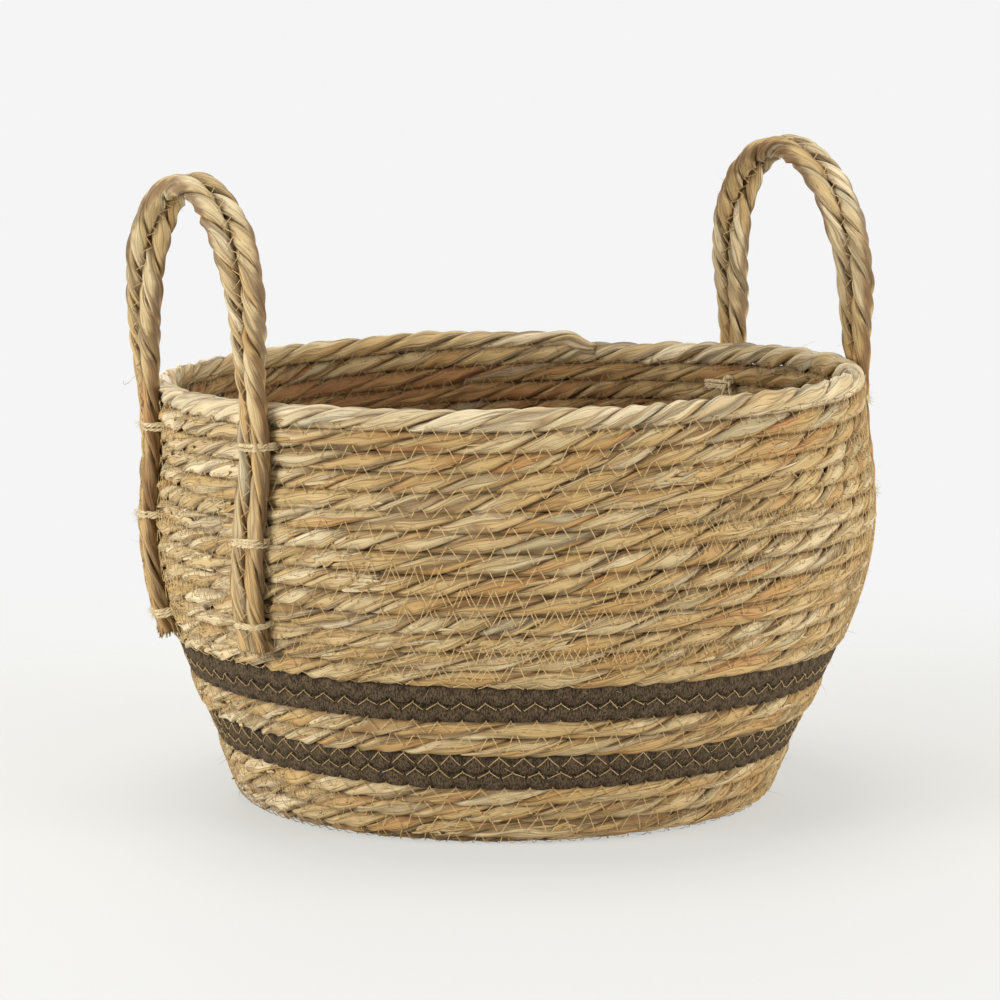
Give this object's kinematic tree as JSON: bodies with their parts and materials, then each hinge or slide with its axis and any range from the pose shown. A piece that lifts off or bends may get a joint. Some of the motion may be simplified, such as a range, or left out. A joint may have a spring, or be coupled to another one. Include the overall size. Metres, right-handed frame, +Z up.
{
  "type": "rush cachepot",
  "caption": "Round plant basket of coiled rush rope with brown cotton cord bands and upright rope handles tied to the wall.",
  "frame": {"origin": "on the floor, under the middle of the basket", "axes": "+Z up, left handle on -X, right handle on +X, front on -Y"},
  "size_m": [0.379, 0.3708, 0.3318],
  "materials": {
    "rush_rope": "dry twisted rush leaf, straw to golden brown, satin along the leaf",
    "brown_cord": "matte dark brown cotton cord, finely knitted and fuzzy",
    "twine": "soft cream cotton twine and straw coloured sewing thread"
  },
  "bodies": {
    "basket": {"base_coil": "rush_rope", "foot_rope": "rush_rope", "lower_brown_cord": "brown_cord", "middle_rush_rope": "rush_rope", "upper_brown_cord": "brown_cord", "upper_rush_rope": "rush_rope", "left_front_leg_inner": "rush_rope", "left_front_leg_outer": "rush_rope", "left_back_leg_inner": "rush_rope", "left_back_leg_outer": "rush_rope", "right_front_leg_inner": "rush_rope", "right_front_leg_outer": "rush_rope", "right_back_leg_inner": "rush_rope", "right_back_leg_outer": "rush_rope", "left_front_tie_top": "twine", "left_front_tie_middle": "twine", "left_front_tie_bottom": "twine", "left_back_tie_top": "twine", "left_back_tie_middle": "twine", "left_back_tie_bottom": "twine", "right_front_tie_top": "twine", "right_front_tie_middle": "twine", "right_front_tie_bottom": "twine", "right_back_tie_top": "twine", "right_back_tie_middle": "twine", "right_back_tie_bottom": "twine"},
    "left_handle": {"left_arch_left_rope": "rush_rope", "left_arch_right_rope": "rush_rope"},
    "right_handle": {"right_arch_left_rope": "rush_rope", "right_arch_right_rope": "rush_rope"}
  },
  "joints": [
    {"name": "left_handle_bend", "type": "hinge", "parent": "basket", "child": "left_handle", "pos_m": [-0.17628, 0, 0.21741], "axis": [0, 0.9999, -0.0167], "range_deg": [-30, 40], "stiffness_Nm_per_rad": 0.6},
    {"name": "right_handle_bend", "type": "hinge", "parent": "basket", "child": "right_handle", "pos_m": [0.1764, -0.00007, 0.22271], "axis": [0, -0.9999, 0.0163], "range_deg": [-30, 40], "stiffness_Nm_per_rad": 0.6}
  ]
}
